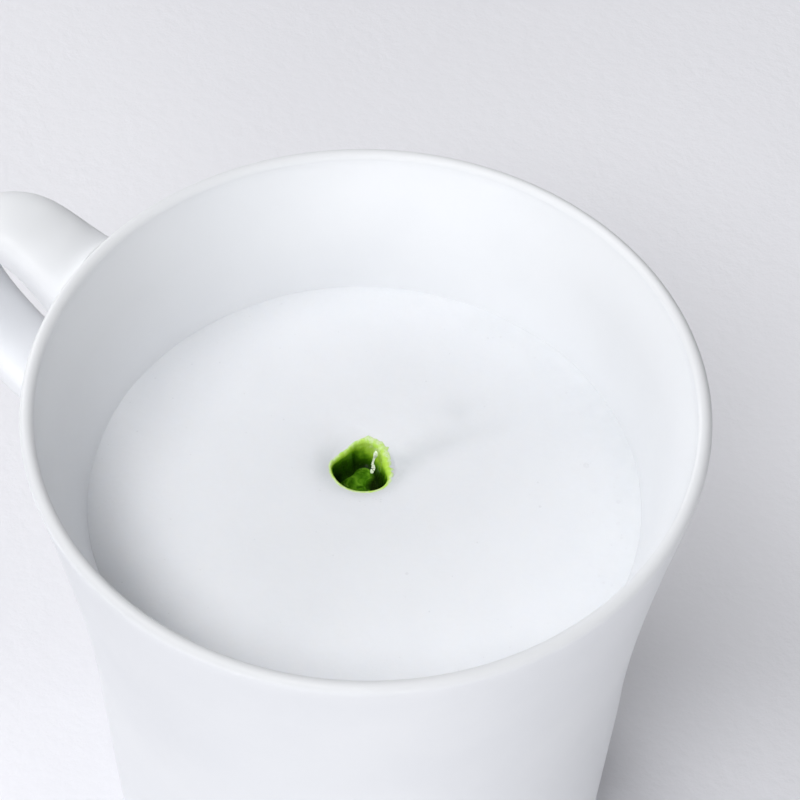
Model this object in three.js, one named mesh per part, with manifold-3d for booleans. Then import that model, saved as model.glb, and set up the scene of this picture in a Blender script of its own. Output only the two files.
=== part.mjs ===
import * as THREE from 'three';
import { NURBSCurve } from 'three/addons/curves/NURBSCurve.js';
import { mergeVertices } from 'three/addons/utils/BufferGeometryUtils.js';
import Module from 'manifold-3d';

// Matcha latte in a white glazed porcelain mug. Millimetres, +Z up.
// The mug stands on z = 0 with its axis on the Z axis and its handle along -X.

const wasm = await Module();
wasm.setup();

// Mug body: a tapered foot, a straight lower wall and a curve that flares from the waist to the lip.
// Drops are measured down from the rim.
const RIM_RADIUS = 46;
const MUG_HEIGHT = 102;
const LIP_RADIUS = 1;
const WAIST_RADIUS = 38.5;
const WAIST_DROP = 60;
const LOWER_RADIUS = 36.6;
const FOOT_CORNER = 6;
const FOOT_INSET = 3.6;
const FOOT_RISE = 9.6;
const FLARE_LOW_GROWTH = 0.5;
const FLARE_LOW_DROP = 40;
const FLARE_HIGH_INSET = 3.4;
const FLARE_HIGH_DROP = 19.5;
const TURN_SEGMENTS = 72;

// Bore of the mug
const BORE_LIP_SLOPE_INSET = 4.4;
const BORE_LIP_SLOPE_DROP = 8.3;
const BORE_SHOULDER_RADIUS = 36.1;
const BORE_SHOULDER_DROP = 34.5;
const BORE_FLARE_GROWTH = 1.9;
const BORE_FLARE_DROP = 18.4;
const BORE_FOOT_RADIUS = 33.4;
const BORE_DRAFT = 0.4;
const FLOOR_HEIGHT = 6;
const BORE_CORNER = 9;

// Strap handle: a rounded section swept along a loop, spreading into the wall at both roots
const STRAP_WIDTH = 11;
const STRAP_THICKNESS = 6.2;
const STRAP_SQUARENESS = 3.2;
const UPPER_ROOT_DROP = 10.9;
const LOWER_ROOT_DROP = 40.4;
const ROOT_DEPTH = 1.8;
const SPREAD = 3;
const SPREAD_REACH = 5.5;
const FILLET = 2.6;
const STRAP_SIDES = 24;
const STRAP_STEPS = 48;
const STEP_CROWDING = 0.62;

// Pulls on the strap's loop, each as the way out from the wall and the way up from a root
const UPPER_ARM_OUT = 11.2;
const UPPER_ARM_UP = 6.6;
const LOOP_TOP_OUT = 16;
const LOOP_TOP_UP = 11.4;
const LOOP_OUTER_OUT = 39.5;
const LOOP_OUTER_UP = -11.6;
const LOWER_ARM_OUT = 10.4;
const LOWER_ARM_UP = 1.9;

// Milk and the hollow that the poured matcha has opened in it
const LEVEL_DROP = 21.9;
const PIECE_GAP = 0.3;
const HOLLOW_X = -3.8;
const HOLLOW_Y = 5.1;
const HOLLOW_RADIUS = 4.65;
const HOLLOW_DEPTH = 9;
const HOLLOW_ROUNDING = 0.9;
const HOLLOW_DRAFT = 0.06;
const DIMPLE_RADIUS = 13;
const DIMPLE_DEPTH = 0.9;
const HOLLOW_SEGMENTS = 40;

// Matcha lining the hollow and pooled in it
const LINING_THICKNESS = 0.7;
const POOL_DROP = 4.2;

// How much of its depth the hollow in the milk and the matcha's outside go down before their flat ends
const HOLLOW_END = 0.95;
const LINING_END = 0.9;

const porcelain = new THREE.MeshStandardMaterial({ color: 0xf1f3f4, roughness: 0.15, metalness: 0 });
const frothedMilk = new THREE.MeshStandardMaterial({ color: 0xe9ebe9, roughness: 0.5, metalness: 0 });
const matchaGreen = new THREE.MeshStandardMaterial({ color: 0x6f9f1c, roughness: 0.25, metalness: 0 });

/** Turns a profile of (radius, height) points about the Z axis. */
function turned(profile, segments) {
  const geometry = new THREE.LatheGeometry(profile, segments);
  geometry.rotateX(Math.PI / 2);
  return geometry;
}

/** Makes a solid from a closed geometry whose faces point out. */
function toSolid(geometry) {
  const bare = geometry.clone();
  bare.deleteAttribute('normal');
  bare.deleteAttribute('uv');
  const merged = mergeVertices(bare, 1e-4);
  const triangles = [];
  const index = merged.index.array;
  for (let i = 0; i < index.length; i += 3) {
    const [a, b, c] = [index[i], index[i + 1], index[i + 2]];
    if (a !== b && b !== c && c !== a) {
      triangles.push(a, b, c);
    }
  }
  return new wasm.Manifold(new wasm.Mesh({
    numProp: 3,
    vertProperties: new Float32Array(merged.attributes.position.array),
    triVerts: new Uint32Array(triangles),
  }));
}

/** Makes a named mesh from a solid. */
function toMesh(solid, name, material) {
  const { vertProperties, triVerts } = solid.getMesh();
  const geometry = new THREE.BufferGeometry();
  geometry.setAttribute('position', new THREE.BufferAttribute(new Float32Array(vertProperties), 3));
  geometry.setIndex(new THREE.BufferAttribute(new Uint32Array(triVerts), 1));
  geometry.computeVertexNormals();
  const mesh = new THREE.Mesh(geometry, material);
  mesh.name = name;
  return mesh;
}

/** Outside of the mug from the foot's centre up to the lip. */
function outsidePath() {
  const path = new THREE.Path();
  const lipHeight = MUG_HEIGHT - LIP_RADIUS;
  path.moveTo(0, 0);
  path.lineTo(LOWER_RADIUS - FOOT_INSET - FOOT_CORNER / 2, 0);
  path.quadraticCurveTo(LOWER_RADIUS - FOOT_INSET / 2, 0, LOWER_RADIUS, FOOT_RISE);
  path.lineTo(WAIST_RADIUS, MUG_HEIGHT - WAIST_DROP);
  path.bezierCurveTo(
    WAIST_RADIUS + FLARE_LOW_GROWTH, MUG_HEIGHT - FLARE_LOW_DROP,
    RIM_RADIUS - FLARE_HIGH_INSET, MUG_HEIGHT - FLARE_HIGH_DROP,
    RIM_RADIUS, lipHeight,
  );
  return path;
}

/** Bore of the mug from the floor's centre up to the lip. */
function borePath() {
  const path = new THREE.Path();
  const lipHeight = MUG_HEIGHT - LIP_RADIUS;
  const lipBore = RIM_RADIUS - 2 * LIP_RADIUS;
  const cornerTop = FLOOR_HEIGHT + BORE_CORNER;
  path.moveTo(0, FLOOR_HEIGHT);
  path.lineTo(BORE_FOOT_RADIUS - BORE_CORNER, FLOOR_HEIGHT);
  path.quadraticCurveTo(BORE_FOOT_RADIUS, FLOOR_HEIGHT, BORE_FOOT_RADIUS + BORE_DRAFT, cornerTop);
  path.lineTo(BORE_SHOULDER_RADIUS, MUG_HEIGHT - BORE_SHOULDER_DROP);
  path.bezierCurveTo(
    BORE_SHOULDER_RADIUS + BORE_FLARE_GROWTH, MUG_HEIGHT - BORE_FLARE_DROP,
    RIM_RADIUS - BORE_LIP_SLOPE_INSET, MUG_HEIGHT - BORE_LIP_SLOPE_DROP,
    lipBore, lipHeight,
  );
  return path;
}

/** Half round of the lip, from the outside over its top to the bore. */
function lipPath() {
  const path = new THREE.Path();
  path.absarc(RIM_RADIUS - LIP_RADIUS, MUG_HEIGHT - LIP_RADIUS, LIP_RADIUS, 0, Math.PI, false);
  return path;
}

/** Radius of a profile at a height, between its points, and its last radius above them. */
function radiusAt(points, height) {
  for (let i = 1; i < points.length; i += 1) {
    const [low, high] = [points[i - 1], points[i]];
    if (high.y > low.y && height >= low.y && height <= high.y) {
      return THREE.MathUtils.mapLinear(height, low.y, high.y, low.x, high.x);
    }
  }
  return points[points.length - 1].x;
}

/** Drops points that repeat the one before them. */
function withoutRepeats(points) {
  return points.filter((point, i) => i === 0 || point.distanceTo(points[i - 1]) > 1e-3);
}

const outside = withoutRepeats(outsidePath().getPoints(8));
const bore = withoutRepeats(borePath().getPoints(7));
const lip = lipPath().getPoints(3);

function mugBody() {
  const inner = [...bore].reverse();
  const profile = withoutRepeats([...outside, ...lip, ...inner]);
  return toSolid(turned(profile, TURN_SEGMENTS));
}

/** Middle line of the strap, in the plane y = 0: x is the distance from the axis, y the height. */
function strapLine() {
  const upperHeight = MUG_HEIGHT - UPPER_ROOT_DROP;
  const lowerHeight = MUG_HEIGHT - LOWER_ROOT_DROP;
  const upperRoot = radiusAt(outside, upperHeight) - ROOT_DEPTH;
  const lowerRoot = radiusAt(outside, lowerHeight) - ROOT_DEPTH;
  const controls = [
    [upperRoot, upperHeight],
    [upperRoot + UPPER_ARM_OUT, upperHeight + UPPER_ARM_UP],
    [upperRoot + LOOP_TOP_OUT, upperHeight + LOOP_TOP_UP],
    [upperRoot + LOOP_OUTER_OUT, upperHeight + LOOP_OUTER_UP],
    [lowerRoot + LOWER_ARM_OUT, lowerHeight + LOWER_ARM_UP],
    [lowerRoot, lowerHeight],
  ];
  const knots = [0, 0, 0, 0, 1, 2, 3, 3, 3, 3];
  return new NURBSCurve(3, knots, controls.map(([x, y]) => new THREE.Vector4(x, y, 0, 1)));
}

/** Growth of the section at a distance from the wall: a soft spread and a quarter round at its foot. */
function spreadAt(distance) {
  const clear = Math.max(distance, 0);
  const round = Math.min(clear / FILLET, 1);
  const fillet = FILLET * (1 - Math.sqrt(1 - (1 - round) ** 2));
  return SPREAD * Math.exp(-clear / SPREAD_REACH) + fillet;
}

/** Point on the rounded section: a superellipse of unit half sizes. */
function sectionPoint(angle) {
  const power = 2 / STRAP_SQUARENESS;
  const across = Math.sign(Math.cos(angle)) * Math.abs(Math.cos(angle)) ** power;
  const through = Math.sign(Math.sin(angle)) * Math.abs(Math.sin(angle)) ** power;
  return [across, through];
}

/** Share of the strap's length at a share of its steps, which crowd together at both roots. */
function crowded(share) {
  return share - (STEP_CROWDING * Math.sin(2 * Math.PI * share)) / (2 * Math.PI);
}

/** Moves a point of the strap along the wall, away from the strap's middle, by the spread there. */
function spreadOut(point, middleHeight) {
  const fromWall = Math.hypot(point.x, point.y) - radiusAt(outside, point.z);
  const outward = new THREE.Vector2(point.y, point.z - middleHeight).normalize();
  const spread = spreadAt(fromWall);
  const side = point.y + outward.x * spread;
  const height = point.z + outward.y * spread;
  const fromAxis = radiusAt(outside, height) + fromWall;
  return new THREE.Vector3(-Math.sqrt(fromAxis ** 2 - side ** 2), side, height);
}

/** Bends a capped cylinder of unit size into the strap. */
function strap() {
  const line = strapLine();
  const geometry = new THREE.CylinderGeometry(1, 1, 1, STRAP_SIDES, STRAP_STEPS);
  const position = geometry.attributes.position;
  for (let i = 0; i < position.count; i += 1) {
    const along = crowded(THREE.MathUtils.clamp(position.getY(i) + 0.5, 0, 1));
    const middle = line.getPointAt(along);
    const tangent = line.getTangentAt(along);
    const isRim = Math.hypot(position.getX(i), position.getZ(i)) > 0.5;
    const [across, through] = sectionPoint(Math.atan2(position.getZ(i), position.getX(i)));
    const side = isRim ? (across * STRAP_WIDTH) / 2 : 0;
    const lift = isRim ? (through * STRAP_THICKNESS) / 2 : 0;
    const plain = new THREE.Vector3(-(middle.x - tangent.y * lift), side, middle.y + tangent.x * lift);
    const point = isRim ? spreadOut(plain, middle.y) : plain;
    position.setXYZ(i, point.x, point.y, point.z);
  }
  return toSolid(geometry);
}

/** Everything inside the middle of the wall, which the handle's ends stop at. */
function wallCore() {
  const profile = outside
    .filter((point) => point.x > LOWER_RADIUS)
    .map((point) => new THREE.Vector2(point.x - ROOT_DEPTH, point.y));
  const low = profile[0].y;
  const high = profile[profile.length - 1].y;
  const closed = [new THREE.Vector2(0, low), ...profile, new THREE.Vector2(0, high)];
  return toSolid(turned(closed, TURN_SEGMENTS));
}

/** Hollow's radius at a depth below its mouth, for a hollow of the given mouth radius and depth. */
function hollowRadius(mouth, depth, below) {
  return mouth * (1 - HOLLOW_ROUNDING * (below / depth) ** 3) - HOLLOW_DRAFT * below;
}

/** Wall of a hollow from its mouth down, as (radius, height) points about its own axis. */
function hollowWall(mouth, depth, top, lowest) {
  const steps = 7;
  const points = [];
  for (let i = 0; i <= steps; i += 1) {
    const below = (lowest * i) / steps;
    points.push(new THREE.Vector2(hollowRadius(mouth, depth, below), top - below));
  }
  return points;
}

const levelHeight = MUG_HEIGHT - LEVEL_DROP;
const mouthHeight = levelHeight - DIMPLE_DEPTH;

/** Shape cut from the milk: the soft dimple and the hollow inside it. */
function milkCut() {
  const wall = hollowWall(HOLLOW_RADIUS, HOLLOW_DEPTH, mouthHeight, HOLLOW_DEPTH * HOLLOW_END);
  const dimple = [];
  const steps = 6;
  for (let i = 1; i <= steps; i += 1) {
    const outward = i / steps;
    const radius = THREE.MathUtils.lerp(HOLLOW_RADIUS, DIMPLE_RADIUS, outward);
    dimple.push(new THREE.Vector2(radius, levelHeight - DIMPLE_DEPTH * (1 - outward) ** 2));
  }
  const top = levelHeight + 2;
  const profile = [
    new THREE.Vector2(0, wall[wall.length - 1].y),
    ...wall.reverse(),
    ...dimple,
    new THREE.Vector2(DIMPLE_RADIUS + 1, top),
    new THREE.Vector2(0, top),
  ];
  const geometry = turned(profile, HOLLOW_SEGMENTS);
  geometry.translate(HOLLOW_X, HOLLOW_Y, 0);
  return toSolid(geometry);
}

function milk() {
  const wall = bore
    .map((point) => new THREE.Vector2(Math.max(point.x - PIECE_GAP, 0), point.y + PIECE_GAP))
    .filter((point) => point.y < levelHeight - 1);
  const edge = new THREE.Vector2(radiusAt(bore, levelHeight) - PIECE_GAP, levelHeight);
  const profile = [...wall, edge, new THREE.Vector2(0, levelHeight)];
  return toSolid(turned(profile, TURN_SEGMENTS)).subtract(milkCut());
}

function matcha() {
  const outerMouth = HOLLOW_RADIUS - PIECE_GAP;
  const outerDepth = HOLLOW_DEPTH - PIECE_GAP;
  const outer = hollowWall(outerMouth, outerDepth, mouthHeight, outerDepth * LINING_END);
  const inner = hollowWall(outerMouth - LINING_THICKNESS, outerDepth, mouthHeight, POOL_DROP);
  const profile = [
    new THREE.Vector2(0, outer[outer.length - 1].y),
    ...outer.reverse(),
    ...inner,
    new THREE.Vector2(0, mouthHeight - POOL_DROP),
  ];
  const geometry = turned(profile, HOLLOW_SEGMENTS);
  geometry.translate(HOLLOW_X, HOLLOW_Y, 0);
  return toSolid(geometry);
}

const mug = mugBody().add(strap().subtract(wallCore()));

const latte = new THREE.Group();
latte.name = 'matcha_latte';
latte.add(toMesh(mug, 'mug', porcelain));
latte.add(toMesh(milk(), 'milk', frothedMilk));
latte.add(toMesh(matcha(), 'matcha', matchaGreen));

export default latte;
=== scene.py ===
"""Looks of the matcha latte: porcelain mug, frothed milk and the matcha-lined hollow in it."""
import math
import random

import bpy
import numpy as np
from mathutils import Matrix, Vector, noise


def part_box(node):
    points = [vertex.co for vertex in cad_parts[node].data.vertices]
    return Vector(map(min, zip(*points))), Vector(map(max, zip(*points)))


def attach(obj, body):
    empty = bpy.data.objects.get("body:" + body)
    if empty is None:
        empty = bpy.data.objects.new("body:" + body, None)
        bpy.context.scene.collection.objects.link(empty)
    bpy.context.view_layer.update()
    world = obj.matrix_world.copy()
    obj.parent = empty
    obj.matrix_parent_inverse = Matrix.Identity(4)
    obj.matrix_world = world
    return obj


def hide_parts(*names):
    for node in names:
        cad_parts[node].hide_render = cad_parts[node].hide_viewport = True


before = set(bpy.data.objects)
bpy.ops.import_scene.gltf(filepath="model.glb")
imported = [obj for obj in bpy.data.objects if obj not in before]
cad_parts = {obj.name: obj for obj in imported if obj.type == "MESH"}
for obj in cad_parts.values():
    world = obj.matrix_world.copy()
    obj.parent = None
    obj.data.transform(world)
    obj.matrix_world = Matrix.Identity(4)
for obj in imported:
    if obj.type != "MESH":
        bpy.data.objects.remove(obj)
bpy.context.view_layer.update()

MM = 0.001
SEED = 4207

# Sizes of the mug, in millimetres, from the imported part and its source
MUG_HIGH = np.array(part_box("mug")[1]) / MM
MUG_HEIGHT = float(MUG_HIGH[2])
RIM_RADIUS = float(MUG_HIGH[0])
LIP_RADIUS = 1.0
WAIST_RADIUS = 38.5
WAIST_DROP = 60.0
LOWER_RADIUS = 36.6
FOOT_CORNER = 6.0
FOOT_RISE = 9.6
FOOT_INSET = 3.6
FLARE_LOW_GROWTH = 0.5
FLARE_LOW_DROP = 40.0
FLARE_HIGH_INSET = 3.4
FLARE_HIGH_DROP = 19.5
BORE_SHOULDER_RADIUS = 36.1
BORE_SHOULDER_DROP = 34.5
BORE_FLARE_GROWTH = 1.9
BORE_FLARE_DROP = 18.4
BORE_LIP_SLOPE_INSET = 4.4
BORE_LIP_SLOPE_DROP = 8.3
BORE_FOOT_RADIUS = 33.4
BORE_DRAFT = 0.4
FLOOR_HEIGHT = 6.0
BORE_CORNER = 9.0
UNDERSIDE_RINGS = (12.0, 24.0)
FLOOR_RINGS = (18.0, 9.0)
MUG_SIDES = 256

# Strap handle
STRAP_WIDTH = 11.0
STRAP_THICKNESS = 6.2
STRAP_SQUARENESS = 3.2
UPPER_ROOT_DROP = 10.9
LOWER_ROOT_DROP = 40.4
ROOT_DEPTH = 1.8
SPREAD = 3.0
SPREAD_REACH = 5.5
FILLET = 2.6
BURIED = 1.0
STRAP_STEPS = 560
STRAP_SIDES = 56
ROOT_CROWDING = 0.86
CURVE_SAMPLES = 4801

# Pulls on the strap's loop, each as the way out from the wall and the way up from a root
UPPER_PULLS = [(11.2, 6.6), (16.0, 11.4), (39.5, -11.6)]
LOWER_PULL = (10.4, 1.9)

# Painted shade on the glaze: it is greyed on the lip, inside below it and on the handle's upper arm.
# Places are bearings seen from the camera with their widths in degrees, and how much shade is painted
# there.
LIP_FADE = 0.6
LIP_PAINTED_SHADE = 0.35
LIP_SHADE_PLACES = [(225, 75, 0.65), (10, 28, 0.45)]
INSIDE_SHADE_PLACES = [(150, 25, 0.55), (22, 30, 0.55)]
INSIDE_SHADE_START = 3.0
INSIDE_SHADE_RISE = 9.0
STRAP_PAINTED_SHADE = 0.55
STRAP_SHADE_START = 7.0
STRAP_SHADE_RISE = 8.0
STRAP_SHADE_REACH = 9.0

# Milk and the hollow in it
LEVEL = float(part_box("milk")[1][2]) / MM
HOLLOW_DEPTH = 9.0
POOL_DROP = 4.2
DIMPLE_DEPTH = 0.9
HOLLOW_RADIUS = 4.64
FLAT_SIDE = 3.96
FLAT_SIDE_BEARING = math.radians(131.0)
FLAT_SIDE_BLEND = 0.50
LIP_ROUND = 0.6
MENISCUS = 0.35
MENISCUS_REACH = 0.90
WALL_BITE = 0.25
FILM = 0.12
FILM_SAG = 0.25
POOL_FILLET = 0.45
POOL_FILLET_TURN = 14.0
POOL_TOP = LEVEL - DIMPLE_DEPTH - POOL_DROP

# The photo's view: where the camera stands from the mug's axis and rim, and how it is turned
VIEW_TURN = math.radians(33.4)
CAMERA_BACK = 264.4
CAMERA_ABOVE_RIM = 332.5
CAMERA_PITCH = math.radians(51.49)
CAMERA_YAW = math.radians(0.96)
CAMERA_ROLL = math.radians(1.80)
LENS = 144.0


def plan(right, back):
    """A place seen from the camera, to the right of and behind the mug's axis, in the row frame."""
    c, s = math.cos(VIEW_TURN), math.sin(VIEW_TURN)
    return np.array([right * c - back * s, right * s + back * c])


HOLLOW = plan(-0.35, 6.34)


# Camera
def make_camera():
    """Sets the camera where the photo was taken from."""
    turn = Matrix.Rotation(VIEW_TURN, 3, "Z")
    forward = Vector((
        math.sin(CAMERA_YAW) * math.cos(CAMERA_PITCH),
        math.cos(CAMERA_YAW) * math.cos(CAMERA_PITCH),
        -math.sin(CAMERA_PITCH),
    ))
    level = Vector((math.cos(CAMERA_YAW), -math.sin(CAMERA_YAW), 0.0))
    upward = level.cross(forward)
    right = level * math.cos(CAMERA_ROLL) + upward * math.sin(CAMERA_ROLL)
    up = upward * math.cos(CAMERA_ROLL) - level * math.sin(CAMERA_ROLL)
    axes = [turn @ v for v in (right, up, -forward)]
    place = turn @ Vector((0.0, -CAMERA_BACK, 0.0))
    data = bpy.data.cameras.new("photo_camera")
    data.lens = LENS
    data.sensor_width = 36.0
    data.clip_start = 0.01
    data.clip_end = 20.0
    camera = bpy.data.objects.new("photo_camera", data)
    bpy.context.scene.collection.objects.link(camera)
    world = Matrix.Identity(4)
    for i, axis in enumerate(axes):
        for j in range(3):
            world[j][i] = axis[j]
    world.translation = (place + Vector((0.0, 0.0, MUG_HEIGHT + CAMERA_ABOVE_RIM))) * MM
    camera.matrix_world = world
    bpy.context.scene.camera = camera


# Meshes
def add_mesh(name, points, faces, material, slot=None, smooth=True):
    """Makes an object from points in millimetres."""
    mesh = bpy.data.meshes.new(name)
    mesh.from_pydata([tuple(p) for p in np.asarray(points) * MM], [], [tuple(f) for f in faces])
    mesh.validate()
    mesh.update()
    if smooth:
        mesh.polygons.foreach_set("use_smooth", [True] * len(mesh.polygons))
    mesh.materials.append(material)
    piece = bpy.data.objects.new(name, mesh)
    bpy.context.scene.collection.objects.link(piece)
    if slot:
        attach(piece, "root")
    return piece


def give_values(piece, name, values):
    """Stores a value for each of a piece's points, for its material."""
    layer = piece.data.attributes.new(name, "FLOAT", "POINT")
    layer.data.foreach_set("value", np.asarray(values, dtype=np.float32))


def ring_faces(rings, sides, start=0):
    """Quads between rings of points, each ring closed on itself."""
    faces = []
    for i in range(rings - 1):
        for j in range(sides):
            k = (j + 1) % sides
            a, b = start + i * sides, start + (i + 1) * sides
            faces.append((a + j, a + k, b + k, b + j))
    return faces


def bezier(start, first, second, end, steps):
    """Points of a cubic curve, its start left out."""
    t = np.linspace(0.0, 1.0, steps + 1)[1:, None]
    start, first, second, end = map(np.array, (start, first, second, end))
    leave = (1 - t) ** 3 * start + 3 * (1 - t) ** 2 * t * first
    return leave + 3 * (1 - t) * t**2 * second + t**3 * end


def quadratic(start, middle, end, steps):
    """Points of a quadratic curve, its start left out."""
    t = np.linspace(0.0, 1.0, steps + 1)[1:, None]
    start, middle, end = map(np.array, (start, middle, end))
    return (1 - t) ** 2 * start + 2 * (1 - t) * t * middle + t**2 * end


def line(start, end, steps):
    """Points of a straight line, its start left out."""
    t = np.linspace(0.0, 1.0, steps + 1)[1:, None]
    return (1 - t) * np.array(start) + t * np.array(end)


def near(angle, centre, width):
    """A smooth bump that is 1 at a centre and fades over a width, both in degrees."""
    off = (angle - math.radians(centre) + math.pi) % (2 * math.pi) - math.pi
    return np.exp(-((off / math.radians(width)) ** 2))


def bumps(angle, rows):
    """Sum of smooth bumps, each given by its bearing, width and height."""
    return sum(height * near(angle, bearing, width) for bearing, width, height in rows)


def waves(angle, rows):
    """Sum of waves round a circle, each given by its count, start and height."""
    return sum(height * np.sin(count * angle + start) for count, start, height in rows)


# Profiles of the mug
LIP_HEIGHT = MUG_HEIGHT - LIP_RADIUS


def outside_profile():
    """(radius, height) points from the foot's flat to the lip."""
    flat = (LOWER_RADIUS - FOOT_INSET - FOOT_CORNER / 2, 0.0)
    corner = (LOWER_RADIUS - FOOT_INSET / 2, 0.0)
    heel = (LOWER_RADIUS, FOOT_RISE)
    waist = (WAIST_RADIUS, MUG_HEIGHT - WAIST_DROP)
    rim = (RIM_RADIUS, LIP_HEIGHT)
    low_pull = (WAIST_RADIUS + FLARE_LOW_GROWTH, MUG_HEIGHT - FLARE_LOW_DROP)
    high_pull = (RIM_RADIUS - FLARE_HIGH_INSET, MUG_HEIGHT - FLARE_HIGH_DROP)
    return np.vstack([
        [flat],
        quadratic(flat, corner, heel, 14),
        line(heel, waist, 10),
        bezier(waist, low_pull, high_pull, rim, 30),
    ])


def bore_profile():
    """(radius, height) points from the edge of the floor to the lip."""
    flat = (BORE_FOOT_RADIUS - BORE_CORNER, FLOOR_HEIGHT)
    corner = (BORE_FOOT_RADIUS, FLOOR_HEIGHT)
    heel = (BORE_FOOT_RADIUS + BORE_DRAFT, FLOOR_HEIGHT + BORE_CORNER)
    shoulder = (BORE_SHOULDER_RADIUS, MUG_HEIGHT - BORE_SHOULDER_DROP)
    lip = (RIM_RADIUS - 2 * LIP_RADIUS, LIP_HEIGHT)
    low_pull = (BORE_SHOULDER_RADIUS + BORE_FLARE_GROWTH, MUG_HEIGHT - BORE_FLARE_DROP)
    high_pull = (RIM_RADIUS - BORE_LIP_SLOPE_INSET, MUG_HEIGHT - BORE_LIP_SLOPE_DROP)
    return np.vstack([
        [flat],
        quadratic(flat, corner, heel, 12),
        line(heel, shoulder, 10),
        bezier(shoulder, low_pull, high_pull, lip, 28),
    ])


OUTSIDE = outside_profile()
BORE = bore_profile()


def wall_radius(height):
    """Outer radius of the wall at a height."""
    return np.interp(height, OUTSIDE[:, 1], OUTSIDE[:, 0])


def bore_radius(height):
    """Inner radius of the wall at a height."""
    return np.interp(height, BORE[:, 1], BORE[:, 0])


def turned(profile, sides):
    """Rings of points of a profile turned about the axis."""
    angle = np.linspace(0.0, 2 * math.pi, sides, endpoint=False)
    radius, height = profile[:, 0], profile[:, 1]
    return np.stack([
        radius[:, None] * np.cos(angle),
        radius[:, None] * np.sin(angle),
        np.repeat(height[:, None], sides, axis=1),
    ], axis=-1)


def mug_body():
    """Points and faces of the body, from the middle of its underside to the middle of its floor."""
    sides = MUG_SIDES
    arc = np.linspace(0.0, math.pi, 15)[1:-1]
    lip_radii = RIM_RADIUS - LIP_RADIUS + LIP_RADIUS * np.cos(arc)
    lip = np.stack([lip_radii, LIP_HEIGHT + LIP_RADIUS * np.sin(arc)], axis=-1)
    under = np.array([[radius, 0.0] for radius in UNDERSIDE_RINGS])
    floor = np.array([[radius, FLOOR_HEIGHT] for radius in FLOOR_RINGS])
    profile = np.vstack([under, OUTSIDE, lip, BORE[::-1], floor])
    rings = turned(profile, sides)
    points = rings.reshape(-1, 3)
    faces = ring_faces(len(profile), sides)
    last = len(points)
    points = np.vstack([points, [[0.0, 0.0, 0.0], [0.0, 0.0, FLOOR_HEIGHT]]])
    top = (len(profile) - 1) * sides
    for j in range(sides):
        k = (j + 1) % sides
        faces.append((last, k, j))
        faces.append((last + 1, top + j, top + k))
    return points, faces


def spline_points(controls, count):
    """Points along a clamped cubic B-spline, closer together at its ends, with their tangents."""
    degree = 3
    spans = len(controls) - degree
    knots = [0.0] * degree + [float(i) for i in range(spans + 1)] + [float(spans)] * degree

    def at(u):
        k = min(int(u), spans - 1) + degree
        d = [np.array(controls[k - degree + j], float) for j in range(degree + 1)]
        for r in range(1, degree + 1):
            for j in range(degree, r - 1, -1):
                i = j + k - degree
                a = (u - knots[i]) / (knots[i + degree - r + 1] - knots[i])
                d[j] = (1 - a) * d[j - 1] + a * d[j]
        return d[degree]

    fine = np.array([at(u) for u in np.linspace(0.0, spans, CURVE_SAMPLES)])
    run = np.concatenate([[0.0], np.cumsum(np.linalg.norm(np.diff(fine, axis=0), axis=1))])
    share = np.linspace(0.0, 1.0, count)
    share = share - ROOT_CROWDING * np.sin(2 * math.pi * share) / (2 * math.pi)
    places = np.stack([np.interp(share * run[-1], run, fine[:, i]) for i in range(2)], axis=-1)
    slope = np.gradient(fine, axis=0)
    slope /= np.linalg.norm(slope, axis=1, keepdims=True)
    tangents = np.stack([np.interp(share * run[-1], run, slope[:, i]) for i in range(2)], axis=-1)
    return places, tangents / np.linalg.norm(tangents, axis=1, keepdims=True)


def strap():
    """Points and faces of the handle, whose ends are buried in the wall."""
    upper = MUG_HEIGHT - UPPER_ROOT_DROP
    lower = MUG_HEIGHT - LOWER_ROOT_DROP
    upper_root = wall_radius(upper) - ROOT_DEPTH
    lower_root = wall_radius(lower) - ROOT_DEPTH
    controls = [(upper_root, upper)]
    controls += [(upper_root + out, upper + up) for out, up in UPPER_PULLS]
    controls += [(lower_root + LOWER_PULL[0], lower + LOWER_PULL[1]), (lower_root, lower)]
    steps, sides = STRAP_STEPS, STRAP_SIDES
    places, tangents = spline_points(controls, steps)
    angle = np.linspace(0.0, 2 * math.pi, sides, endpoint=False)
    power = 2 / STRAP_SQUARENESS
    across = np.sign(np.cos(angle)) * np.abs(np.cos(angle)) ** power * STRAP_WIDTH / 2
    through = np.sign(np.sin(angle)) * np.abs(np.sin(angle)) ** power * STRAP_THICKNESS / 2
    out = places[:, :1] - tangents[:, 1:] * through
    height = places[:, 1:] + tangents[:, :1] * through
    side = np.repeat(across[None], steps, axis=0)
    from_wall = np.hypot(out, side) - wall_radius(height)
    clear = np.maximum(from_wall, 0.0)
    foot = 1 - np.minimum(clear / FILLET, 1.0)
    spread = SPREAD * np.exp(-clear / SPREAD_REACH) + FILLET * (1 - np.sqrt(1 - foot**2))
    lift = height - places[:, 1:]
    size = np.maximum(np.hypot(side, lift), 1e-6)
    side = side + side / size * spread
    height = height + lift / size * spread
    from_axis = wall_radius(height) + np.maximum(from_wall, -BURIED)
    points = np.stack([-np.sqrt(np.maximum(from_axis**2 - side**2, 0.0)), side, height], axis=-1)
    faces = ring_faces(steps, sides)
    faces.append(tuple(reversed(range(sides))))
    faces.append(tuple((steps - 1) * sides + j for j in range(sides)))
    return points.reshape(-1, 3), faces


def painted_shade_on_body(points):
    """How much shade is painted on the body: on the lip, and inside below it at two places."""
    bearing = np.arctan2(points[:, 1], points[:, 0]) - VIEW_TURN
    height = points[:, 2]
    on_lip = np.clip((height - LIP_HEIGHT) / LIP_FADE, 0.0, 1.0)
    inside = np.hypot(points[:, 0], points[:, 1]) < wall_radius(height) - LIP_RADIUS
    raised = np.clip((height - LEVEL - INSIDE_SHADE_START) / INSIDE_SHADE_RISE, 0.0, 1.0) * (1.0 - on_lip)
    lip = on_lip * (LIP_PAINTED_SHADE + bumps(bearing, LIP_SHADE_PLACES))
    return lip + inside * raised * bumps(bearing, INSIDE_SHADE_PLACES)


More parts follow.
